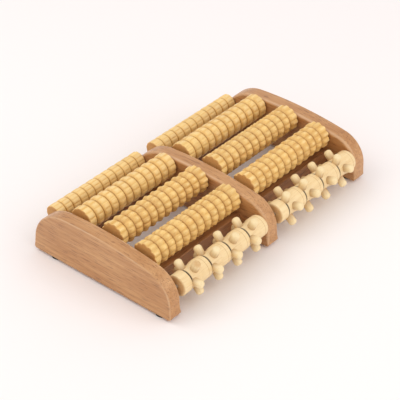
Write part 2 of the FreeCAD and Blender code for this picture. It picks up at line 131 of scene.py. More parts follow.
class Shader:
    """The node tree of one material."""

    def __init__(self, name: str) -> None:
        """Starts a material with an empty tree.

        Args:
            name: the material's name.
        """
        self.material = bpy.data.materials.new(name)
        self.material.use_nodes = True
        self.tree = self.material.node_tree
        self.tree.nodes.clear()

    def add(
        self,
        kind: str,
        settings: dict[str, Any] | None = None,
        inputs: dict[int | str, Any] | None = None,
        output: int | str = 0,
    ) -> Value | None:
        """Adds any node: its settings first, then the numbers or links of its sockets.

        Args:
            kind: the node's type.
            settings: attributes of the node, such as a Math node's operation.
            inputs: socket name or number, and the number, colour or Value that it gets.
            output: name or number of the output that is wanted.

        Returns:
            That output as a Value, or None from a node that has no outputs.
        """
        node = self.tree.nodes.new(kind)
        for name, setting in (settings or {}).items():
            setattr(node, name, setting)
        for name, given in (inputs or {}).items():
            if isinstance(given, Value):
                self.tree.links.new(given.socket, node.inputs[name])
            else:
                node.inputs[name].default_value = given
        return Value(self, node.outputs[output]) if len(node.outputs) else None

    def attribute(self, name: str, output: str = "Fac") -> Value:
        """Reads a mesh attribute; a mesh without it gives 0."""
        return self.add("ShaderNodeAttribute", {"attribute_name": name}, output=output)

    def noise(self, vector: Value, figure: Figure) -> Value:
        """Cloudy noise from 0 to 1, drawn out along the vector's first direction.

        Args:
            vector: where each point of the surface lies.
            figure: the noise's stretch, scale and detail.

        Returns:
            The noise.
        """
        stretch = (figure.stretch, 1.0, 1.0)
        drawn = self.add("ShaderNodeVectorMath", {"operation": "MULTIPLY"}, {0: vector, 1: stretch})
        return self.add(
            "ShaderNodeTexNoise",
            {},
            {"Vector": drawn, "Scale": figure.scale, "Detail": figure.detail, "Roughness": figure.rough},
        )

    def between(self, value: Value, low: float, high: float) -> Value:
        """Smooth step between two levels.

        Args:
            value: the number to judge.
            low: the level up to which the result is 0.
            high: the level from which it is 1.

        Returns:
            The step.
        """
        return self.add(
            "ShaderNodeMapRange",
            {"interpolation_type": "SMOOTHSTEP"},
            {"Value": value, "From Min": low, "From Max": high},
        )

    def blend(self, factor: Any, first: Any, second: Any) -> Value:
        """Mixes two colours.

        Args:
            factor: the second colour's share.
            first: a colour, plain or as a Value.
            second: another.

        Returns:
            The mixed colour.
        """
        settings = {"data_type": "RGBA"}
        given = [c if isinstance(c, Value) else (*c, 1.0) for c in (first, second)]
        return self.add("ShaderNodeMix", settings, {0: factor, 6: given[0], 7: given[1]}, output=2)

    def bump(self, height: Value, depth: float) -> Value:
        """Turns a height from 0 to 1 into a normal, with its depth in metres."""
        inputs = {"Height": height, "Distance": depth, "Strength": 1.0}
        return self.add("ShaderNodeBump", {}, inputs, "Normal")

    def surface(self, **inputs: Any) -> bpy.types.Material:
        """Ends the tree with a Principled shader.

        Args:
            inputs: its sockets, with an underscore where the name has a space.

        Returns:
            The finished material.
        """
        named = {name.replace("_", " "): given for name, given in inputs.items()}
        shader = self.add("ShaderNodeBsdfPrincipled", {}, named)
        self.add("ShaderNodeOutputMaterial", {}, {"Surface": shader})
        return self.material


# --------------------------------------------------------------------- finishes


@dataclass(frozen=True)
class Wood:
    """Wood with long fibres, broad tone, short flecks, worn edges and painted shade in recesses.

    The pattern lies in the piece's own `grain` attribute, whose first number runs
    along the fibres, so that it turns and travels with the piece.
    """

    name: str
    pale: Colour
    deep: Colour
    fleck: Colour
    # colour of the painted shade in cuts, holes and peg seats
    recess: Colour
    end_grain: Colour
    worn: Colour
    fleck_amount: float = 0.5
    band_amount: float = 0.5
    roughness: float = 0.45
    coat: float = 0.0
    coat_roughness: float = 0.22
    fibre_depth: float = 0.00012

    TONE = Figure(0.25, 55.0, 2.0)
    BANDS = Figure(0.035, 330.0, 3.0)
    FIBRES = Figure(0.05, 1900.0, 3.0, 0.6)
    DASHES = Figure(0.07, 1000.0, 1.0)
    PORES = Figure(1.0, 900.0, 2.0)
    FLECK_RANGE = (0.57, 0.68)
    SHADE_RANGE = (0.35, 0.98)
    WEAR_RANGE = (0.35, 0.9)
    CHAR = tone(62, 34, 14)
    KNOT = tone(196, 138, 62)

    def material(self) -> bpy.types.Material:
        """Builds the wood: tone and bands, then flecks, painted shade in recesses, worn edges and char.

        Each layer is a blend of the colour below it and its own. The share is what the
        mesh says of the place, such as how deep in a cut it lies, times a figure.

        Returns:
            The material.
        """
        shader = Shader(self.name)
        grain = shader.attribute("grain", "Vector")
        broad = shader.noise(grain, self.TONE)
        bands = shader.noise(grain, self.BANDS)
        fibres = shader.noise(grain, self.FIBRES)
        pores = shader.noise(grain, self.PORES)
        marks = shader.between(shader.noise(grain, self.DASHES), *self.FLECK_RANGE)
        layers = broad * 0.5 + bands * self.band_amount + fibres * 0.4
        shade = shader.between(layers, *self.SHADE_RANGE)
        colour = shader.blend(shade, self.pale, self.deep)
        colour = shader.blend(marks * self.fleck_amount, colour, self.fleck)
        ends = shader.attribute("end_grain")
        colour = shader.blend(ends * (0.55 + pores * 0.45), colour, self.end_grain)
        # Painted shade: cuts, holes and peg seats are darkened towards the recess colour, as if shade fell
        # in them.
        recess_shade_share = shader.attribute("recess")
        colour = shader.blend(recess_shade_share * (0.75 + fibres * 0.35), colour, self.recess)
        edges = shader.attribute("edge") * shader.between(broad + fibres * 0.4, *self.WEAR_RANGE)
        colour = shader.blend(edges * 0.6, colour, self.worn)
        char = shader.attribute("scorch")
        colour = shader.blend(char, colour, self.CHAR)
        knot = shader.attribute("knot")
        colour = shader.blend(knot * (0.5 + bands * 0.6), colour, self.KNOT)
        rough = self.roughness + fibres * 0.16 + (recess_shade_share + char) * 0.2 + ends * 0.15 - edges * 0.08
        relief = fibres * 0.6 + bands * 0.25 - marks * 0.35 + pores * ends * 0.8
        return shader.surface(
            Base_Color=colour,
            Roughness=rough,
            Coat_Weight=self.coat,
            Coat_Roughness=self.coat_roughness,
            Normal=shader.bump(relief, self.fibre_depth),
        )


@dataclass(frozen=True)
class Steel:
    """Drawn steel rod with fine lines along it and a little tarnish."""

    name: str
    bright: Colour
    tarnish: Colour

    LINES = Figure(0.02, 4000.0, 2.0)
    CLOUDS = Figure(1.0, 220.0, 3.0)
    CLOUD_RANGE = (0.45, 0.75)
    LINE_DEPTH = 0.00002

    def material(self) -> bpy.types.Material:
        """Builds the steel.

        Returns:
            The material.
        """
        shader = Shader(self.name)
        grain = shader.attribute("grain", "Vector")
        lines = shader.noise(grain, self.LINES)
        dull = shader.between(shader.noise(grain, self.CLOUDS), *self.CLOUD_RANGE)
        return shader.surface(
            Base_Color=shader.blend(dull * 0.6, self.bright, self.tarnish),
            Metallic=1.0,
            Roughness=0.28 + lines * 0.12 + dull * 0.2,
            Normal=shader.bump(lines, self.LINE_DEPTH),
        )


@dataclass(frozen=True)
class Rubber:
    """Matt moulded rubber with a fine pebbled skin and grey dust on it."""

    name: str
    black: Colour
    dust: Colour

    PEBBLES = Figure(1.0, 2600.0, 2.0)
    DUST_CLOUDS = Figure(1.0, 300.0, 4.0)
    DUST_RANGE = (0.45, 0.8)
    PEBBLE_DEPTH = 0.00005

    def material(self) -> bpy.types.Material:
        """Builds the rubber.

        Returns:
            The material.
        """
        shader = Shader(self.name)
        grain = shader.attribute("grain", "Vector")
        pebbles = shader.noise(grain, self.PEBBLES)
        dusty = shader.between(shader.noise(grain, self.DUST_CLOUDS), *self.DUST_RANGE)
        return shader.surface(
            Base_Color=shader.blend(dusty * 0.5, self.black, self.dust),
            Roughness=0.72 + dusty * 0.15,
            Normal=shader.bump(pebbles, self.PEBBLE_DEPTH),
        )


BEECH = Wood(
    "stained_beech",
    pale=tone(216, 166, 112),
    deep=tone(182, 126, 73),
    fleck=tone(132, 82, 46),
    recess=tone(120, 66, 34),
    end_grain=tone(170, 118, 76),
    worn=tone(228, 190, 148),
    fleck_amount=0.6,
    band_amount=0.6,
    roughness=0.36,
    coat=0.35,
)
RAIL_BEECH = Wood(
    "dark_stained_beech",
    pale=tone(188, 134, 84),
    deep=tone(146, 94, 54),
    fleck=tone(58, 34, 22),
    recess=tone(48, 28, 18),
    end_grain=tone(80, 48, 30),
    worn=tone(168, 130, 104),
    roughness=0.38,
    coat=0.3,
)
RAW_BEECH = Wood(
    "raw_beech_dowel",
    pale=tone(226, 192, 152),
    deep=tone(204, 162, 118),
    fleck=tone(160, 112, 72),
    recess=tone(150, 104, 66),
    end_grain=tone(190, 146, 102),
    worn=tone(236, 208, 172),
    roughness=0.6,
)
TOOTHED_WOOD = Wood(
    "waxed_toothed_wood",
    pale=tone(255, 222, 146),
    deep=tone(242, 192, 106),
    fleck=tone(204, 138, 62),
    recess=tone(150, 88, 28),
    end_grain=tone(200, 140, 76),
    worn=tone(252, 226, 168),
    fleck_amount=0.3,
    roughness=0.42,
    coat=0.1,
)
PALE_WOOD = Wood(
    "pale_turned_wood",
    pale=tone(250, 226, 178),
    deep=tone(236, 204, 148),
    fleck=tone(206, 160, 96),
    recess=tone(176, 124, 66),
    end_grain=tone(214, 166, 104),
    worn=tone(253, 236, 200),
    fleck_amount=0.2,
    roughness=0.36,
    coat=0.2,
)
PEG_WOOD = Wood(
    "polished_peg_wood",
    pale=tone(250, 230, 184),
    deep=tone(236, 206, 150),
    fleck=tone(210, 168, 106),
    recess=tone(170, 118, 60),
    end_grain=tone(246, 224, 176),
    worn=tone(253, 240, 206),
    fleck_amount=0.2,
    roughness=0.34,
    coat=0.25,
)
AXLE_STEEL = Steel("drawn_steel", tone(206, 206, 204), tone(150, 142, 132))
FOOT_RUBBER = Rubber("moulded_rubber", tone(26, 25, 25), tone(70, 68, 66))


# ------------------------------------------------------------------ mesh making


class Skin:
    """Points and faces collected for one mesh, with numbers kept at its points."""

    MEETING = 1e-6

    def __init__(self, grain_offset: Sequence[float] = (0.0, 0.0, 0.0)) -> None:
        """Starts empty.

        Args:
            grain_offset: shift of the wood's pattern, in metres.
        """
        self.points: list[np.ndarray] = []
        self.grain: list[np.ndarray] = []
        self.faces: list[np.ndarray] = []
        self.flat: list[np.ndarray] = []
        self.marks: list[dict[str, np.ndarray]] = []
        self.count = 0
        self.grain_offset = np.asarray(grain_offset, float)

    def _take(self, points: np.ndarray, grain: np.ndarray, marks: dict[str, Any]) -> int:
        """Stores points and what is kept at them.

        Args:
            points: the points, one to a row.
            grain: the wood's own coordinates of the same points.
            marks: numbers kept at the points.

        Returns:
            The first point's number in the mesh.
        """
        start = self.count
        self.points.append(points)
        self.grain.append(grain + self.grain_offset)
        self.marks.append({name: np.broadcast_to(mark, len(points)) for name, mark in marks.items()})
        self.count += len(points)
        return start

    def add_grid(self, grid: np.ndarray, grain: np.ndarray, wrap: tuple[bool, bool], **marks: Any) -> None:
        """Adds a grid of points as quads, each between two neighbours both ways.

        Args:
            grid: points, shaped rows by columns by 3.
            grain: the wood's own coordinates of the same points.
            wrap: whether the last row joins the first, and the last column the first.
            marks: numbers kept at the points, shaped rows by columns or one number.
        """
        rows, columns = grid.shape[:2]
        flat_marks = {
            name: np.broadcast_to(mark, (rows, columns)).reshape(-1) for name, mark in marks.items()
        }
        start = self._take(grid.reshape(-1, 3), grain.reshape(-1, 3), flat_marks)
        row = np.arange(rows if wrap[0] else rows - 1)[:, None]
        column = np.arange(columns if wrap[1] else columns - 1)[None, :]
        below, right = (row + 1) % rows, (column + 1) % columns
        this_row, next_row = row * columns, below * columns
        corners = [this_row + column, this_row + right, next_row + right, next_row + column]
        quads = np.stack(np.broadcast_arrays(*corners), -1).reshape(-1, 4) + start
        self.faces.append(quads)
        self.flat.append(np.zeros(len(quads), bool))

    def add_flat(self, loops: Sequence[np.ndarray], grain: Sequence[np.ndarray], **marks: Any) -> None:
        """Fills a flat face that has an outer loop and any number of holes.

        Args:
            loops: points of each loop, the outer one first.
            grain: the wood's own coordinates of the same points.
            marks: numbers kept at the points.
        """
        start = self._take(np.concatenate(loops), np.concatenate(grain), marks)
        triangles = tessellate_polygon([[Vector(point) for point in loop.tolist()] for loop in loops])
        self.faces.append(np.asarray(triangles) + start)
        self.flat.append(np.ones(len(triangles), bool))

    def build(self, name: str, sharp_degrees: float = 40.0) -> bpy.types.Object:
        """Makes the mesh: merges points that meet and turns every face outwards.

        Args:
            name: the piece's name.
            sharp_degrees: edges that turn by more than this are shaded as creases.

        Returns:
            The object, at the origin, with its place in its mesh.
        """
        mesh = bpy.data.meshes.new(name)
        mesh.vertices.add(self.count)
        mesh.vertices.foreach_set("co", np.concatenate(self.points).ravel())
        corners = np.concatenate([faces.ravel() for faces in self.faces])
        sides = np.concatenate([np.full(len(faces), faces.shape[1]) for faces in self.faces])
        mesh.loops.add(len(corners))
        mesh.loops.foreach_set("vertex_index", corners)
        mesh.polygons.add(len(sides))
        mesh.polygons.foreach_set("loop_start", np.concatenate([[0], np.cumsum(sides)[:-1]]))
        mesh.polygons.foreach_set("use_smooth", ~np.concatenate(self.flat))
        mesh.update(calc_edges=True)
        kept = mesh.attributes.new("grain", "FLOAT_VECTOR", "POINT")
        kept.data.foreach_set("vector", np.concatenate(self.grain).ravel())
        for mark in sorted({mark for marks in self.marks for mark in marks}):
            numbers = [
                marks.get(mark, np.zeros(len(points))) for marks, points in zip(self.marks, self.points)
            ]
            kept = mesh.attributes.new(mark, "FLOAT", "POINT")
            kept.data.foreach_set("value", np.concatenate(numbers).astype(np.float32))
        work = bmesh.new()
        work.from_mesh(mesh)
        bmesh.ops.remove_doubles(work, verts=work.verts, dist=self.MEETING)
        bmesh.ops.recalc_face_normals(work, faces=work.faces)
        work.to_mesh(mesh)
        work.free()
        mesh.set_sharp_from_angle(angle=math.radians(sharp_degrees))
        piece = bpy.data.objects.new(name, mesh)
        bpy.context.scene.collection.objects.link(piece)
        return piece


def smooth(share: np.ndarray) -> np.ndarray:
    """Smooth step: 0 below 0, 1 above 1, and three squares less two cubes between."""
    share = np.clip(share, 0.0, 1.0)
    return share * share * (3 - 2 * share)


def turned(along: np.ndarray, radius: np.ndarray, angles: np.ndarray) -> np.ndarray:
    """Turned surface about the X axis, in millimetres.

    A point stands at its distance along X, and at its radius from the axis, towards
    its angle, which runs from straight up towards the front.

    Args:
        along: distance along the axis, one for each row.
        radius: rows by angles, or one for each row.
        angles: one for each column, in radians.

    Returns:
        Points, shaped rows by angles by 3.
    """
    reach = radius if radius.ndim == 2 else np.repeat(radius[:, None], len(angles), 1)
    x = np.broadcast_to(along[:, None], reach.shape)
    return np.stack([x, -reach * np.sin(angles), reach * np.cos(angles)], -1)


@dataclass(frozen=True)
class Arc:
    """Round stretch of an outline: centre, radius, and its two angles in radians."""

    centre: tuple[float, float]
    radius: float
    first: float
    last: float

    def sampled(self, step: float) -> tuple[np.ndarray, np.ndarray]:
        """Points and outward directions along the arc.

        A point is the centre plus the radius towards each angle.

        Args:
            step: greatest distance between points, in millimetres.

        Returns:
            The points and their outward directions.
        """
        count = max(5, math.ceil(abs(self.last - self.first) * self.radius / step) + 1)
        angle = np.linspace(self.first, self.last, count)
        outward = np.stack([np.cos(angle), np.sin(angle)], -1)
        return np.asarray(self.centre) + self.radius * outward, outward


def joined(arcs: Sequence[Arc], step: float) -> tuple[np.ndarray, np.ndarray]:
    """Closed outline: arcs in order, joined by straight stretches where they are apart.

    Args:
        arcs: round stretches, anticlockwise.
        step: greatest distance between points, in millimetres.

    Returns:
        The points and their outward directions.
    """
    points, outward = [], []
    for arc, following in zip(arcs, [*arcs[1:], arcs[0]]):
        here, facing = arc.sampled(step)
        points.append(here[:-1])
        outward.append(facing[:-1])
        start, end = here[-1], following.sampled(step)[0][0]
        count = max(1, math.ceil(np.linalg.norm(end - start) / (4 * step)))
        share = np.arange(count)[:, None] / count
        points.append(start + (end - start) * share)
        outward.append(np.repeat(facing[-1:], count, 0))
    return np.concatenate(points), np.concatenate(outward)


# ------------------------------------------------------------------ the pieces


@dataclass
class Piece:
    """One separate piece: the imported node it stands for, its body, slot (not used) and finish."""

    node: str
    body: str
    slot: str
    finish: Wood | Steel | Rubber
    seed: int

    def shuffle(self) -> np.random.Generator:
        """Random numbers of this piece's own, the same in every run."""
        return np.random.default_rng(self.seed)

    def fill(self, skin: Skin) -> None:
        """Adds the piece's surface to its skin."""
        raise NotImplementedError

    def make(self, materials: dict[str, bpy.types.Material]) -> bpy.types.Object:
        """Builds the mesh, gives it its finish, and lets it ride and replace its node.

        The skin starts with the piece's own place in the wood, so no two pieces match.

        Args:
            materials: materials already made, by name.

        Returns:
            The piece.
        """
        skin = Skin(self.shuffle().uniform(-1.0, 1.0, 3))
        self.fill(skin)
        piece = skin.build(self.node + "_piece")
        if self.finish.name not in materials:
            materials[self.finish.name] = self.finish.material()
        piece.data.materials.append(materials[self.finish.name])
        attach(piece, self.body)
        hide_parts(self.node)
        LOG.info("%s: %d faces, rides on %s", piece.name, len(piece.data.polygons), self.body)
        return piece


@dataclass
class Hole:
    """Blind hole in a flat face: its middle, radius and depth, in millimetres."""

    middle: tuple[float, float]
    radius: float
    depth: float


@dataclass
class Board(Piece):
    """Flat board that lies across X, with rounded edges and blind holes in its faces."""

    middle: float = 0.0
    thickness: float = 15.0
    left_round: float = 1.2
    right_round: float = 1.2
    foot_round: float = 0.5
    foot_rise: float = 9.0
    step: float = 1.4
    left_holes: list[Hole] = field(default_factory=list)
    right_holes: list[Hole] = field(default_factory=list)

    ROUND_STEPS = 8
    LEDGE = 0.4
    HOLE_STEPS = 28

    def outline(self) -> tuple[np.ndarray, np.ndarray]:
        """The board's outline across Y and Z, and its outward directions."""
        raise NotImplementedError

    def grain_of(self, points: np.ndarray) -> np.ndarray:
        """Fibres run along Y: the wood's coordinates are Y, Z and X."""
        return points[..., [1, 2, 0]] * MM

    def rim(self) -> tuple[np.ndarray, np.ndarray]:
        """Edge band of the board, carried round its outline.

        Across the band, each rounded edge is a quarter circle: the point is inset by
        its radius less the radius times the sine, and stands in from the face by the
        radius less the radius times the cosine. The radius shrinks near the foot line.

        Returns:
            The grid of points, and how much each lies on a worn edge.
        """
        points, outward = self.outline()
        rise = smooth((points[:, 1] - points[:, 1].min()) / self.foot_rise)[:, None]
        quarter = np.linspace(0, math.pi / 2, self.ROUND_STEPS)[None, :]
        half = self.thickness / 2
        inset, x, worn = [], [], []
        for side, full in ((-1, self.left_round), (1, self.right_round)):
            radius = self.foot_round + (full - self.foot_round) * rise
            edge_inset = np.concatenate([radius + self.LEDGE, radius * (1 - np.sin(quarter))], 1)
            edge_x = np.concatenate([half + 0 * radius, half - radius * (1 - np.cos(quarter))], 1)
            wear = np.concatenate([0 * radius, np.sin(2 * quarter) + 0 * radius], 1)
            order = slice(None, None, -side)
            inset.append(edge_inset[:, order])
            x.append(side * edge_x[:, order])
            worn.append(wear[:, order])
        inset, x, worn = (np.concatenate(parts, 1) for parts in (inset, x, worn))
        flat = points[:, None, :] - inset[..., None] * outward[:, None, :]
        return np.concatenate([(self.middle + x)[..., None], flat], -1), worn

    def add_face(self, skin: Skin, loop: np.ndarray, side: int, holes: Sequence[Hole]) -> None:
        """Closes one face of the board and sinks its blind holes, with painted shade inside them.

        A hole is a circle of points round its middle, carried straight in to its depth.

        Args:
            skin: the skin to add to.
            loop: the face's outer loop.
            side: -1 for the left face, 1 for the right one.
            holes: the face's blind holes.
        """
        face_x = self.middle + side * self.thickness / 2
        angle = np.linspace(0, TURN, self.HOLE_STEPS, endpoint=False)
        loops = [loop]
        for hole in holes:
            y = hole.middle[0] + hole.radius * np.cos(angle)
            z = hole.middle[1] + hole.radius * np.sin(angle)
            mouth = np.stack([np.full_like(y, face_x), y, z], -1)
            floor = mouth - [side * hole.depth, 0, 0]
            centre = np.broadcast_to([floor[0, 0], *hole.middle], mouth.shape)
            wall = np.stack([mouth, floor, centre])
            # Painted shade: the wall darkens from its mouth inwards and the floor is dark, as if shade
            # fell in the hole.
            depth = np.repeat([[0.2], [1.0], [1.0]], self.HOLE_STEPS, 1)
            skin.add_grid(wall * MM, self.grain_of(wall), (False, True), recess=depth)
            loops.append(mouth)
        skin.add_flat([loop * MM for loop in loops], [self.grain_of(loop) for loop in loops])

    def fill(self, skin: Skin) -> None:
        """Adds the board's edge band, then its two faces.

        Args:
            skin: the skin to add to.
        """
        rim, worn = self.rim()
        skin.add_grid(rim * MM, self.grain_of(rim), (True, False), edge=worn)
        self.add_face(skin, rim[:, 0], -1, self.left_holes)
        self.add_face(skin, rim[:, -1], 1, self.right_holes)


@dataclass
class SidePanel(Board):
    """Upright panel: flat foot line, leaning ends, round shoulders, arched crown."""

    front: float = -80.0
    rear: float = 88.0
    foot: float = 2.5
    top: float = 52.9
    crown_radius: float = 430.0
    crown_middle: float = 21.6
    front_radius: float = 29.0
    rear_radius: float = 40.0
    front_lean: float = 1.0
    rear_lean: float = 7.5
    corner: float = 2.5

    def end(self, side: int) -> tuple[Arc, Arc]:
        """Foot corner and shoulder at one end, both touching its leaning straight.

        The straight goes up from the foot line and leans inwards. The shoulder's
        centre is its radius inside the straight, and as far from the crown's centre
        as the crown's radius less its own, which gives a square equation.

        Args:
            side: -1 for the front end, 1 for the rear one.

        Returns:
            The corner and the shoulder, both from low to high.
        """
        reach, lean, radius = (
            (self.front, self.front_lean, self.front_radius)
            if side < 0
            else (self.rear, self.rear_lean, self.rear_radius)
        )
        lean = math.radians(lean)
        up = np.array([-side * math.sin(lean), math.cos(lean)])
        inward = np.array([-side * math.cos(lean), -math.sin(lean)])
        foot = np.array([reach, self.foot])
        crown = np.array([self.crown_middle, self.top - self.crown_radius])
        gap = foot + radius * inward - crown
        along = gap @ up
        far = (self.crown_radius - radius) ** 2
        centre = foot + radius * inward + up * (math.sqrt(along**2 - gap @ gap + far) - along)
        outward = math.atan2(-inward[1], -inward[0]) % TURN
        upward = math.atan2(*(centre - crown)[::-1])
        corner_y = reach + self.corner * (1 - inward[1]) / inward[0]
        down = -math.pi / 2 if side > 0 else 1.5 * math.pi
        start = outward if side < 0 or outward < math.pi else outward - TURN
        corner = Arc((corner_y, self.foot + self.corner), self.corner, down, start)
        return corner, Arc(tuple(centre), radius, start, upward)

    def outline(self) -> tuple[np.ndarray, np.ndarray]:
        """Corners, shoulders and crown, joined anticlockwise as seen from +X.

        Returns:
            The points and their outward directions.
        """
        rear_corner, rear_shoulder = self.end(1)
        front_corner, front_shoulder = self.end(-1)
        crown_centre = (self.crown_middle, self.top - self.crown_radius)
        crown = Arc(crown_centre, self.crown_radius, rear_shoulder.last, front_shoulder.last)
        turned_round = [
            Arc(arc.centre, arc.radius, arc.last, arc.first) for arc in (front_shoulder, front_corner)
        ]
        return joined([rear_corner, rear_shoulder, crown, *turned_round], self.step)


@dataclass
class StretcherRail(Board):
    """Rail between two panels: a rectangle with slightly rounded long edges."""

    depth: float = 11.0
    height: float = 20.0
    centre: tuple[float, float] = (0.0, 0.0)
    long_edge: float = 0.8

    def outline(self) -> tuple[np.ndarray, np.ndarray]:
        """Four small quarter circles, joined anticlockwise.

        Returns:
            The points and their outward directions.
        """
        across, up = self.depth / 2 - self.long_edge, self.height / 2 - self.long_edge
        corners = [(1, -1), (1, 1), (-1, 1), (-1, -1)]
        return joined(
            [
                Arc(
                    (self.centre[0] + y * across, self.centre[1] + z * up),
                    self.long_edge,
                    (number - 1) * math.pi / 2,
                    number * math.pi / 2,
                )
                for number, (y, z) in enumerate(corners)
            ],
            self.step,
        )

    def grain_of(self, points: np.ndarray) -> np.ndarray:
        """Fibres run along X: the wood's coordinates are X, Y and Z."""
        return points * MM


@dataclass(frozen=True)
class Teeth:
    """Shape of a roller's teeth: depth of grooves and flutes, and how boxy they are."""

    groove: float
    flute: float
    ring_power: float
    tooth_power: float
    sharpness: float
    kerf: float


class Cut(Enum):
    """The ways in which a roller's rings are cut."""

    NOTCHED = Teeth(0.9, 0.7, 3.0, 2.6, 3.0, 0.45)
    SCALLOPED = Teeth(1.9, 1.0, 2.4, 2.0, 2.6, 0.5)
    ROUNDED = Teeth(2.9, 1.8, 1.7, 1.5, 2.0, 0.3)
    SPIKED = Teeth(3.1, 2.1, 1.5, 1.4, 1.9, 0.35)
    WORN = Teeth(2.5, 2.0, 1.7, 1.4, 2.0, 0.25)


@dataclass
class BoredRoller(Piece):
    """Roller turned about X, with its axle's bore through it and flat ends."""

    axis: tuple[float, float, float] = (0.0, 0.0, 0.0)
    radius: float = 12.0
    length: float = 117.3
    bore: float = 2.08
    chamfer: float = 0.0

    END_SHARES = (1.0, 0.0)

    @property
    def near_end(self) -> np.ndarray:
        """Middle of the end that distances along the roller are counted from."""
        return np.array(self.axis) - [self.length / 2, 0, 0]

    def add_closed(
        self, skin: Skin, along: np.ndarray, outer: np.ndarray, angles: np.ndarray, **marks: Any
    ) -> None:
        """Adds the roller as one closed surface: outline, far end, bore and near end.

        An end's rings of points stand at shares of the way from the bore out to the
        outline's last radius, less the chamfer.

        Args:
            skin: the skin to add to.
            along: distance along the roller of each row of the outline.
            outer: the outline's radius, one for each row, or rows by angles.
            angles: one for each column, in radians.
            marks: numbers kept at the outline's points; at the ends they are 0.
        """
        shape = (len(along), len(angles))
        outer = np.broadcast_to(outer if outer.ndim == 2 else outer[:, None], shape)
        share = np.array(self.END_SHARES)[:, None]
        rings = len(share)
        far = self.bore + (outer[-1] - self.chamfer - self.bore) * share
        near = self.bore + (outer[0] - self.chamfer - self.bore) * share[::-1]
        x = np.concatenate([along, np.full(rings, self.length), np.zeros(rings)])
        unmarked = np.zeros((2 * rings, len(angles)))
        kept = {
            name: np.concatenate([np.broadcast_to(mark, shape), unmarked])
            for name, mark in marks.items()
        }
        ends = (np.arange(len(x)) >= len(along)).astype(float)[:, None]
        grid = turned(x, np.concatenate([outer, far, near]), angles)
        place = (grid + self.near_end) * MM
        skin.add_grid(place, grid * MM, (True, True), end_grain=ends, **kept)


@dataclass
class ToothedRoller(BoredRoller):
    """Turned roller with grooves between its rings and flutes that part its teeth."""

    cut: Cut = Cut.SCALLOPED
    rings: int = 12
    teeth: int = 12
    chamfer: float = 0.7

    END_SHARES = (1.0, 0.85, 0.6, 0.35, 0.1, 0.0)
    RING_STEPS = 14
    TOOTH_STEPS = 12
    CROWDING = 0.085
    SHAVING = 0.14
    WANDER = 0.28
    KERF_SPREAD = 0.35
    SHALLOWEST = 0.72
    DULLING = 0.25
    STAIN = 0.2
    DEEP_GROOVE = 2.6
    LEAST_KERF = 0.3
    CREST_DEPTH = 0.8

    def crowded(self, count: int, steps: int) -> tuple[np.ndarray, np.ndarray]:
        """Places that crowd towards the bottom of each cut.

        Within one ring or tooth, the place is the share less a sine of it, so the
        spacing is least where the cut turns and widest on the crest.

        Args:
            count: number of rings or teeth.
            steps: places in each.

        Returns:
            The ring or tooth each place is in, and its share of it, from 0 to 1.
        """
        number = np.repeat(np.arange(count), steps)
        share = np.tile(np.arange(steps) / steps, count)
        return number, share - self.CROWDING * np.sin(TURN * share)

    def depths(
        self, random: np.random.Generator
    ) -> tuple[np.ndarray, np.ndarray, np.ndarray, np.ndarray]:
        """How deep the cuts are below the blank, over the rings and round the teeth.

        A groove's depth is the distance from the ring's middle raised to a power, and a
        narrow bell-shaped kerf at its bottom. A flute's is the same round the roller,
        without the kerf. The two join as a rounded greatest of both: the root of the
        sum of their powers. The crests are dulled, each tooth by an amount of its own.

        Args:
            random: this roller's random numbers.

        Returns:
            Distance along the roller, angles, the depth of the cuts, and their painted
            shade plus random stain, both as rows by angles.
        """
        shape = self.cut.value
        ring, u = self.crowded(self.rings, self.RING_STEPS)
        tooth, v = self.crowded(self.teeth, self.TOOTH_STEPS)
        ring, u = np.append(ring, self.rings - 1), np.append(u, 1.0)
        pitch = self.length / self.rings
        grooves = np.arange(self.rings + 1) * pitch
        grooves[1:-1] += random.uniform(-self.WANDER, self.WANDER, self.rings - 1)
        along = grooves[ring] + (grooves[ring + 1] - grooves[ring]) * u
        angles = (tooth + v) * TURN / self.teeth + random.uniform(0, TURN)
        from_crest = np.abs(2 * u - 1)
        outermost = ((ring == 0) & (u < 0.5)) | ((ring == self.rings - 1) & (u > 0.5))
        from_crest[outermost] = 0.0
        kerf = shape.kerf * np.exp(-(((1 - from_crest) * pitch / 2 / self.KERF_SPREAD) ** 2))
        groove = (shape.groove * from_crest**shape.ring_power + kerf)[:, None]
        uneven = random.uniform(self.SHALLOWEST, 1.0, (self.rings, self.teeth))
        flute = shape.flute * np.abs(2 * v - 1) ** shape.tooth_power * uneven[ring][:, tooth]
        power = shape.sharpness
        depth = (groove**power + flute**power) ** (1 / power)
        dulled = random.uniform(0.0, self.DULLING, (self.rings, self.teeth))[ring][:, tooth]
        crest = (1 - from_crest)[:, None] * (1 - np.abs(2 * v - 1))
        stain = random.uniform(0.0, self.STAIN, (self.rings, self.teeth))[ring][:, tooth]
        # Painted shade: the kerf, the deep groove and the flute darken the cut as if shade fell in it; the
        # stain added after is the wood's own random tone.
        dark = 0.7 * kerf[:, None] / max(shape.kerf, self.LEAST_KERF)
        dark = dark + 0.2 * smooth(groove / self.DEEP_GROOVE) + 0.07 * flute
        return along, angles, depth + dulled * crest, np.clip(dark + stain, 0, 1)

    def fill(self, skin: Skin) -> None:
        """Adds the toothed roller; its cuts get painted shade and random stain, and its crests are worn.

        Args:
            skin: the skin to add to.
        """
        along, angles, depth, dark = self.depths(self.shuffle())
        along = np.clip(along, self.chamfer, self.length - self.chamfer)
        worn = smooth(1 - depth / self.CREST_DEPTH)
        outer = self.radius - self.SHAVING - depth
        self.add_closed(skin, along, outer, angles, recess=dark, edge=worn)


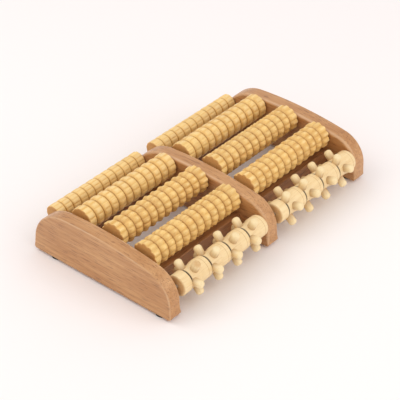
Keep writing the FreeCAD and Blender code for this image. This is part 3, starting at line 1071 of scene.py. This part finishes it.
@dataclass
class PeggedRoller(BoredRoller):
    """Smooth roller: a plain end disc, then waisted segments parted by burnt lines."""

    radius: float = 10.8
    disc: float = 10.8
    segments: int = 4
    waist: float = 12.0
    ramp: float = 4.0
    waist_depth: float = 0.7
    burn_depth: float = 1.1
    burn_width: float = 0.8
    fine_line: float = 5.6
    near_round: float = 1.0
    far_round: float = 3.2
    belly: float = 0.25
    skim: float = 0.25
    etch_depth: float = 0.16
    etch_width: float = 0.3
    step_width: float = 0.5

    END_SHARES = (0.75, 0.4, 0.1, 0.0)
    ROUND_STEPS = 96
    ALONG_STEPS = 130
    END_STEPS = 12
    FINE_REACH = 2.4
    FINE_STEPS = 25

    @property
    def pitch(self) -> float:
        """Distance from one burnt line to the next."""
        return (self.length - self.disc) / self.segments

    def lines(self) -> np.ndarray:
        """Distances of the burnt lines from the near end."""
        return self.disc + self.pitch * np.arange(self.segments)

    def profile(self) -> tuple[np.ndarray, np.ndarray, np.ndarray, np.ndarray]:
        """The roller's outline along its axis.

        The radius is the blank's, less a waist that starts at a burnt line and eases
        out over a ramp, less a bell-shaped burnt groove, less a shallow fine line, and
        more by half a sine wave where the segment swells. The ends are rounded off as
        quarter circles.

        Returns:
            Distance along, radius, and how burnt and how etched each place is.
        """
        fine = np.linspace(-self.FINE_REACH, self.FINE_REACH, self.FINE_STEPS)
        lines = self.lines()
        marks = np.append(lines[1:], self.length) - self.fine_line
        rounds = np.linspace(0, math.pi / 2, self.END_STEPS)
        x = np.concatenate(
            [
                np.linspace(0, self.length, self.ALONG_STEPS),
                (lines[:, None] + fine).ravel(),
                (marks[:, None] + fine / 4).ravel(),
                self.near_round * (1 - np.cos(rounds)),
                self.length - self.far_round * (1 - np.cos(rounds)),
            ]
        )
        x = np.unique(np.round(np.clip(x, 0, self.length), 3))
        from_line = x[:, None] - lines[None, :]
        ease = smooth((from_line - self.waist) / self.ramp)
        drop = self.waist_depth * smooth(from_line / self.step_width) * (1 - ease)
        burn = np.exp(-((from_line / self.burn_width) ** 2)).max(1)
        etched = np.exp(-(((x[:, None] - marks) / self.etch_width) ** 2)).max(1)
        past_waist = np.clip((from_line - self.waist) / (self.pitch - self.waist), 0, 1)
        belly = self.belly * np.sin(math.pi * past_waist)
        radius = self.radius - self.skim - drop.sum(1) + belly.sum(1)
        radius = radius - self.burn_depth * burn - self.etch_depth * etched
        near = self.near_round - np.sqrt(self.near_round**2 - np.clip(self.near_round - x, 0, None) ** 2)
        left = np.clip(x - self.length + self.far_round, 0, self.far_round)
        far = self.far_round - np.sqrt(self.far_round**2 - left**2)
        return x, radius - near - far, burn, etched

    def fill(self, skin: Skin) -> None:
        """Adds the smooth roller; its burnt lines are charred and its fine ones get painted shade.

        Args:
            skin: the skin to add to.
        """
        x, radius, burn, etched = self.profile()
        angles = np.linspace(0, TURN, self.ROUND_STEPS, endpoint=False)
        char = np.minimum(1.0, 2.0 * burn)[:, None]
        # Painted shade: the fine etched lines are darkened through the recess mask, as if shade fell in
        # them.
        self.add_closed(skin, x, radius, angles, scorch=char, recess=0.5 * etched[:, None])


@dataclass
class PegSet(Piece):
    """All pegs of one roller: round shanks with domed heads, in zigzag rows."""

    roller: PeggedRoller | None = None
    row_offset: float = 2.6
    row_spacing: float = 6.2
    in_row: int = 3
    first_angle: float = -37.0
    radius: float = 4.0
    seat: float = 6.4
    reach: float = 19.2
    head: float = 3.4
    chamfer: float = 0.4
    squareness: float = 2.3
    dark_peg: int | None = None

    ROUND_STEPS = 26
    HEAD_STEPS = 12
    SEAT_SHADE = 0.8
    DARK_TINT = 0.8
    CAP_GRAIN = 0.5

    def places(self) -> list[tuple[float, float]]:
        """Where the pegs stand: two rows in each segment, the second half a step round.

        Returns:
            Distance along the roller and angle of every peg.
        """
        step = TURN / self.in_row
        return [
            (
                line + self.row_offset + row * self.row_spacing,
                math.radians(self.first_angle) + (number + row / 2) * step,
            )
            for line in self.roller.lines()
            for row in (0, 1)
            for number in range(self.in_row)
        ]

    def outline(self) -> tuple[np.ndarray, np.ndarray]:
        """The peg's outline from its seat to the top of its head.

        The shank is straight with a small chamfer. The head is a quarter of a rounded
        square: its two shares, each raised to a power, add up to one.

        Returns:
            Height and radius of each place.
        """
        angle = np.linspace(0, math.pi / 2, self.HEAD_STEPS)[1:]
        soft = 2 / self.squareness
        top = self.reach - self.head
        shank = [self.seat, self.seat, self.seat + self.chamfer, top]
        across = [0.0, self.radius - self.chamfer, self.radius, self.radius]
        height = np.concatenate([shank, top + self.head * np.sin(angle) ** soft])
        radius = np.concatenate([across, self.radius * np.cos(angle) ** soft])
        radius[-1] = 0.0
        return height, np.clip(radius, 0.0, None)

    def fill(self, skin: Skin) -> None:
        """Adds every peg as its own closed shell: a turned outline, tipped to its angle.

        Args:
            skin: the skin to add to.
        """
        random = self.shuffle()
        height, radius = self.outline()
        turn = np.linspace(0, TURN, self.ROUND_STEPS, endpoint=False)
        peg = turned(height, radius, turn)
        # Painted shade: each shank darkens where it enters the roller, as if shade fell in the seat.
        above = height - self.roller.radius + self.SEAT_SHADE / 2
        foot = smooth(1 - above / self.SEAT_SHADE)
        cap = smooth((height - self.reach + self.head) / self.head)
        for number, (along, tip) in enumerate(self.places()):
            x, out = peg[..., 2], peg[..., 0]
            y = -out * math.sin(tip) + peg[..., 1] * math.cos(tip)
            z = out * math.cos(tip) + peg[..., 1] * math.sin(tip)
            grid = np.stack([x + along, y, z], -1) + self.roller.near_end
            grain = peg * MM + random.uniform(-1.0, 1.0, 3)
            tint = self.DARK_TINT if number == self.dark_peg else 0.0
            skin.add_grid(
                grid * MM,
                grain,
                (False, True),
                recess=foot[:, None],
                end_grain=self.CAP_GRAIN * cap[:, None],
                knot=tint * cap[:, None],
            )


@dataclass
class Rod(Piece):
    """Straight rods along X with chamfered ends: axles and dowels."""

    starts: list[tuple[float, float, float]] = field(default_factory=list)
    length: float = 133.5
    radius: float = 2.0
    chamfer: float = 0.3
    flutes: int = 0
    flute_depth: float = 0.0

    ROUND_STEPS = 48

    def fill(self, skin: Skin) -> None:
        """Adds the rods: a straight turned outline, with shallow flutes if it has any.

        The flutes are a cosine wave round the rod, taken off its radius.

        Args:
            skin: the skin to add to.
        """
        near = [0, 0, self.chamfer, self.length / 2]
        far = [self.length - self.chamfer, self.length, self.length]
        along = np.array(near + far)
        face = self.radius - self.chamfer
        radius = np.array([0, face, self.radius, self.radius, self.radius, face, 0])
        angles = np.linspace(0, TURN, self.ROUND_STEPS, endpoint=False)
        ripple = self.flute_depth * (0.5 - 0.5 * np.cos(self.flutes * angles))
        reach = np.clip(radius[:, None] - ripple * (radius[:, None] > self.chamfer), 0, None)
        ends = np.array([1, 1, 0, 0, 0, 1, 1])
        random = self.shuffle()
        for start in self.starts:
            grid = turned(along, reach, angles)
            grain = grid * MM + random.uniform(-1.0, 1.0, 3)
            skin.add_grid((grid + start) * MM, grain, (False, True), end_grain=ends[:, None])


@dataclass
class RubberFoot(Piece):
    """Round pad under a panel, with soft edges and a shallow dish in its sole."""

    middle: tuple[float, float] = (0.0, 0.0)
    height: float = 2.5
    radius: float = 7.0
    edge: float = 0.6
    dish: float = 0.4
    dish_floor: float = 0.45
    dish_mouth: float = 0.62
    top_chamfer: float = 0.2

    ROUND_STEPS = 64
    EDGE_STEPS = 7

    def fill(self, skin: Skin) -> None:
        """Adds the pad: a turned outline stood upright.

        From the middle of the sole, the outline crosses the dish, comes down to the
        floor, goes round a quarter circle, up the side and back along the top.

        Args:
            skin: the skin to add to.
        """
        quarter = np.linspace(0, math.pi / 2, self.EDGE_STEPS)
        rim = self.radius - self.edge
        up = np.concatenate(
            [
                [self.dish, self.dish, 0.0],
                self.edge * (1 - np.cos(quarter)),
                [self.height - self.top_chamfer, self.height, self.height],
            ]
        )
        radius = np.concatenate(
            [
                [0.0, self.dish_floor * rim, self.dish_mouth * rim],
                rim + self.edge * np.sin(quarter),
                [self.radius, self.radius - self.top_chamfer, 0.0],
            ]
        )
        angles = np.linspace(0, TURN, self.ROUND_STEPS, endpoint=False)
        lying = turned(up, radius, angles)
        grid = lying[..., [1, 2, 0]] + [*self.middle, 0.0]
        skin.add_grid(grid * MM, grid * MM, (False, True))


# ------------------------------------------------------------------- the studio


@dataclass(frozen=True)
class Viewpoint:
    """The camera: which way it looks, from how far, and its lens in millimetres."""

    azimuth: float = -49.068
    elevation: float = 35.817
    roll: float = 0.819
    lens: float = 129.97
    sensor: float = 36.0
    distance: float = 1.391
    target: tuple[float, float, float] = (0.0025, 0.01234, 0.0092)

    def make(self) -> bpy.types.Object:
        """Stands the camera back from its target, along its azimuth and elevation.

        Returns:
            The camera.
        """
        a, e, r = (math.radians(angle) for angle in (self.azimuth, self.elevation, self.roll))
        back = Vector((math.sin(a) * math.cos(e), -math.cos(a) * math.cos(e), math.sin(e)))
        level = Vector((math.cos(a), math.sin(a), 0.0))
        upright = back.cross(level)
        right = level * math.cos(r) - upright * math.sin(r)
        up = level * math.sin(r) + upright * math.cos(r)
        data = bpy.data.cameras.new("camera")
        data.lens = self.lens
        data.sensor_width = self.sensor
        camera = bpy.data.objects.new("camera", data)
        place = Vector(self.target) + back * self.distance
        turn = Matrix((right, up, back)).transposed().to_4x4()
        camera.matrix_world = Matrix.Translation(place) @ turn
        bpy.context.scene.collection.objects.link(camera)
        bpy.context.scene.camera = camera
        return camera


@dataclass(frozen=True)
class Softbox:
    """A square light: where it stands, its side in metres, its power and colour."""

    name: str
    place: tuple[float, float, float]
    side: float
    power: float
    colour: Colour = (1.0, 1.0, 1.0)

    def make(self) -> bpy.types.Object:
        """Stands the light at its place, facing the middle of the object.

        Returns:
            The light.
        """
        data = bpy.data.lights.new(self.name, "AREA")
        data.shape = "SQUARE"
        data.size = self.side
        data.energy = self.power
        data.color = self.colour
        lamp = bpy.data.objects.new(self.name, data)
        lamp.location = self.place
        lamp.rotation_euler = Vector(self.place).to_track_quat("Z", "Y").to_euler()
        bpy.context.scene.collection.objects.link(lamp)
        return lamp


@dataclass
class Studio:
    """Plain pale floor, soft lights behind and in front, and pale surroundings."""

    floor_half: float = 4.0
    floor_clouds: Figure = Figure(1.0, 3.0, 2.0)
    floor_lift: float = 1.02
    floor_colour: Colour = tone(250, 245, 244)
    sky: Colour = (1.0, 0.98, 0.975)
    sky_strength: float = 0.82
    lights: tuple[Softbox, ...] = (
        Softbox("back_softbox", (-0.6, 0.8, 1.2), 1.0, 5.0, (1.0, 0.97, 0.94)),
        Softbox("front_softbox", (0.15, -1.25, 1.0), 1.5, 7.0, (1.0, 0.98, 0.96)),
    )

    def floor(self) -> bpy.types.Object:
        """Lays the floor: one large square at height zero.

        Returns:
            The floor.
        """
        half = self.floor_half
        mesh = bpy.data.meshes.new("floor")
        corners = [(-half, -half, 0.0), (half, -half, 0.0), (half, half, 0.0), (-half, half, 0.0)]
        mesh.from_pydata(corners, [], [(0, 1, 2, 3)])
        shader = Shader("pale_floor")
        place = shader.add("ShaderNodeTexCoord", output="Object")
        cloud = shader.noise(place, self.floor_clouds)
        lighter = tuple(min(1.0, value * self.floor_lift) for value in self.floor_colour)
        colour = shader.blend(cloud, self.floor_colour, lighter)
        mesh.materials.append(shader.surface(Base_Color=colour, Roughness=0.9))
        floor = bpy.data.objects.new("floor", mesh)
        bpy.context.scene.collection.objects.link(floor)
        return floor

    def make(self) -> None:
        """Sets up the surroundings, the floor and the lights."""
        scene = bpy.context.scene
        scene.view_settings.view_transform = "Standard"
        world = bpy.data.worlds.new("surroundings")
        world.use_nodes = True
        backdrop = world.node_tree.nodes["Background"]
        backdrop.inputs["Color"].default_value = (*self.sky, 1.0)
        backdrop.inputs["Strength"].default_value = self.sky_strength
        scene.world = world
        self.floor()
        for light in self.lights:
            light.make()


# --------------------------------------------------------------------- assembly


class Bay(Enum):
    """The two bays, one for each foot."""

    LEFT = "left"
    RIGHT = "right"


class Place(Enum):
    """Where a rail or a foot stands under the panels."""

    FRONT = "front"
    REAR = "rear"


@dataclass
class FootRoller:
    """The whole object: sizes that its sub-assemblies share, and their making."""

    panel_thickness: float = 15.0
    inner_round: float = 3.0
    outer_round: float = 1.4
    axle_radius: float = 2.0
    axle_seat: float = 5.5
    axle_play: float = 0.3
    seat_play: float = 0.02
    rail_depth: float = 11.0
    rail_height: float = 20.0
    rail_round: float = 0.15
    rail_step: float = 0.3
    dowel_radius: float = 2.5
    dowel_spacing: float = 9.0
    dowel_in_rail: float = 12.0
    dowel_in_panel: float = 6.0
    dowel_chamfer: float = 0.5
    dowel_flutes: int = 12
    dowel_flute_depth: float = 0.12
    row_radii: tuple[float, ...] = (9.2, 12.8, 14.0, 14.4)
    crown_behind_row_three: float = 18.0
    dark_peg: int = 3
    peg_angles: dict[Bay, float] = field(
        default_factory=lambda: {Bay.LEFT: -37.0, Bay.RIGHT: 13.0}
    )
    cuts: dict[Bay, tuple[Cut, ...]] = field(
        default_factory=lambda: {
            Bay.LEFT: (Cut.NOTCHED, Cut.SCALLOPED, Cut.SPIKED, Cut.SPIKED),
            Bay.RIGHT: (Cut.NOTCHED, Cut.SCALLOPED, Cut.ROUNDED, Cut.WORN),
        }
    )
    materials: dict[str, bpy.types.Material] = field(default_factory=dict)

    PANEL_SEED = 11
    RAIL_SEED = 21
    DOWEL_SEED = 71
    FOOT_SEED = 81
    BAY_SEEDS = {Bay.LEFT: 100, Bay.RIGHT: 200}
    PEGGED_SEED = 5
    PEG_SEED = 6
    AXLE_SEED = 10

    def box(self, node: str) -> tuple[np.ndarray, np.ndarray]:
        """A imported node's lowest and highest corners, in millimetres."""
        low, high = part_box(node)
        return np.array(low) / MM, np.array(high) / MM

    def axes(self, bay: Bay) -> list[np.ndarray]:
        """Middles of a bay's five rollers on their axes, in millimetres.

        Along X it is the middle of the roller's box, and across it is its joint.

        Args:
            bay: the bay.

        Returns:
            One point for each roller, from the rear.
        """
        middles = []
        for joint in frame["joints"]:
            if joint["child"].startswith(bay.value):
                low, high = self.box(joint["child"])
                middles.append(np.append((low[0] + high[0]) / 2, np.array(joint["pos_m"][1:]) / MM))
        return middles

    def panel_holes(self, bay: Bay | None) -> list[Hole]:
        """Blind holes for a bay's axles and for the dowels of its rails.

        Args:
            bay: the bay that the panel's face looks into, or None for an outer face.

        Returns:
            The holes, none of them in an outer face.
        """
        if bay is None:
            return []
        axles = [
            Hole((axis[1], axis[2]), self.axle_radius + self.seat_play, self.axle_seat)
            for axis in self.axes(bay)
        ]
        dowels = [
            Hole(middle, self.dowel_radius + self.seat_play, self.dowel_in_panel)
            for place in Place
            for middle in self.dowel_middles(bay, place)
        ]
        return axles + dowels

    def rail_box(self, bay: Bay, place: Place) -> tuple[np.ndarray, np.ndarray]:
        """A rail's lowest and highest corners, in millimetres."""
        return self.box(f"{bay.value}_{place.value}_rail")

    def dowel_middles(self, bay: Bay, place: Place) -> list[tuple[float, float]]:
        """Y and Z of the two dowels, one over the other, in each end of a rail."""
        _, y, z = sum(self.rail_box(bay, place)) / 2
        return [(y, z + step * self.dowel_spacing / 2) for step in (-1, 1)]

    def panels(self) -> None:
        """Makes the three panels; a bay's holes face its rollers."""
        sides = {
            "left_side_panel": (None, Bay.LEFT),
            "middle_panel": (Bay.LEFT, Bay.RIGHT),
            "right_side_panel": (Bay.RIGHT, None),
        }
        crown_middle = self.axes(Bay.LEFT)[2][1] + self.crown_behind_row_three
        for seed, (node, (left, right)) in enumerate(sides.items(), start=self.PANEL_SEED):
            low, high = self.box(node)
            SidePanel(
                node, "frame", "panel_beech", BEECH, seed,
                middle=(low[0] + high[0]) / 2,
                thickness=self.panel_thickness,
                left_round=self.inner_round if left else self.outer_round,
                right_round=self.inner_round if right else self.outer_round,
                left_holes=self.panel_holes(left),
                right_holes=self.panel_holes(right),
                front=low[1],
                rear=high[1],
                foot=low[2],
                top=high[2],
                crown_middle=crown_middle,
            ).make(self.materials)

    def rails(self) -> None:
        """Makes the four rails, each with two dowel holes in both ends."""
        rails = [(bay, place) for bay in Bay for place in Place]
        for seed, (bay, place) in enumerate(rails, start=self.RAIL_SEED):
            low, high = self.rail_box(bay, place)
            centre = (low + high) / 2
            holes = [
                Hole(middle, self.dowel_radius + self.seat_play, self.dowel_in_rail)
                for middle in self.dowel_middles(bay, place)
            ]
            StretcherRail(
                f"{bay.value}_{place.value}_rail", "frame", "rail_beech", RAIL_BEECH, seed,
                middle=centre[0],
                thickness=high[0] - low[0],
                left_round=self.rail_round,
                right_round=self.rail_round,
                foot_round=self.rail_round,
                step=self.rail_step,
                left_holes=holes,
                right_holes=holes,
                depth=self.rail_depth,
                height=self.rail_height,
                centre=(centre[1], centre[2]),
            ).make(self.materials)

    def bay(self, bay: Bay) -> None:
        """Makes one bay's rollers, pegs and axles.

        Args:
            bay: the bay.
        """
        side, seed = bay.value, self.BAY_SEEDS[bay]
        *toothed_axes, pegged_axis = axes = self.axes(bay)
        rows = zip(toothed_axes, self.row_radii, self.cuts[bay])
        for row, (axis, radius, cut) in enumerate(rows, start=1):
            node = f"{side}_toothed_roller_{row}"
            ToothedRoller(
                node, node, "toothed_wood", TOOTHED_WOOD, seed + row,
                axis=tuple(axis),
                radius=radius,
                cut=cut,
            ).make(self.materials)
        node = f"{side}_pegged_roller"
        roller = PeggedRoller(
            node, node, "pegged_wood", PALE_WOOD, seed + self.PEGGED_SEED,
            axis=tuple(pegged_axis),
        )
        roller.make(self.materials)
        PegSet(
            f"{side}_pegs", node, "peg_wood", PEG_WOOD, seed + self.PEG_SEED,
            roller=roller,
            first_angle=self.peg_angles[bay],
            dark_peg=self.dark_peg if bay is Bay.LEFT else None,
        ).make(self.materials)
        for row, axis in enumerate(axes, start=1):
            node = f"{side}_axle_{row}"
            low, high = self.box(node)
            Rod(
                node, "frame", "axle_steel", AXLE_STEEL, seed + self.AXLE_SEED + row,
                starts=[(low[0], axis[1], axis[2])],
                length=high[0] - low[0],
                radius=self.axle_radius,
            ).make(self.materials)

    def dowels(self) -> None:
        """Makes the sixteen rail dowels, as separate fluted rods in one piece."""
        in_panel = self.dowel_in_panel - self.axle_play
        in_rail = self.dowel_in_rail - self.axle_play
        starts = []
        for bay in Bay:
            for place in Place:
                low, high = self.rail_box(bay, place)
                for y, z in self.dowel_middles(bay, place):
                    starts += [(low[0] - in_panel, y, z), (high[0] - in_rail, y, z)]
        Rod(
            "rail_dowels", "frame", "dowel_beech", RAW_BEECH, self.DOWEL_SEED,
            starts=starts,
            length=in_panel + in_rail,
            radius=self.dowel_radius,
            chamfer=self.dowel_chamfer,
            flutes=self.dowel_flutes,
            flute_depth=self.dowel_flute_depth,
        ).make(self.materials)

    def feet(self) -> None:
        """Makes the six rubber feet."""
        panels = ("left", "middle", "right")
        names = [f"{panel}_{place.value}_foot" for panel in panels for place in Place]
        for seed, node in enumerate(names, start=self.FOOT_SEED):
            low, high = self.box(node)
            middle = (low + high) / 2
            RubberFoot(
                node, "frame", "foot_rubber", FOOT_RUBBER, seed,
                middle=(middle[0], middle[1]),
                height=high[2],
                radius=(high[0] - low[0]) / 2,
            ).make(self.materials)

    def make(self) -> None:
        """Makes every sub-assembly in order."""
        self.panels()
        self.rails()
        for bay in Bay:
            self.bay(bay)
        self.dowels()
        self.feet()


def main() -> None:
    """Sets up the studio and camera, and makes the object."""
    logging.basicConfig(level=logging.INFO, format="%(name)s: %(message)s")
    Studio().make()
    Viewpoint().make()
    FootRoller().make()


if __name__ == "__main__":
    main()
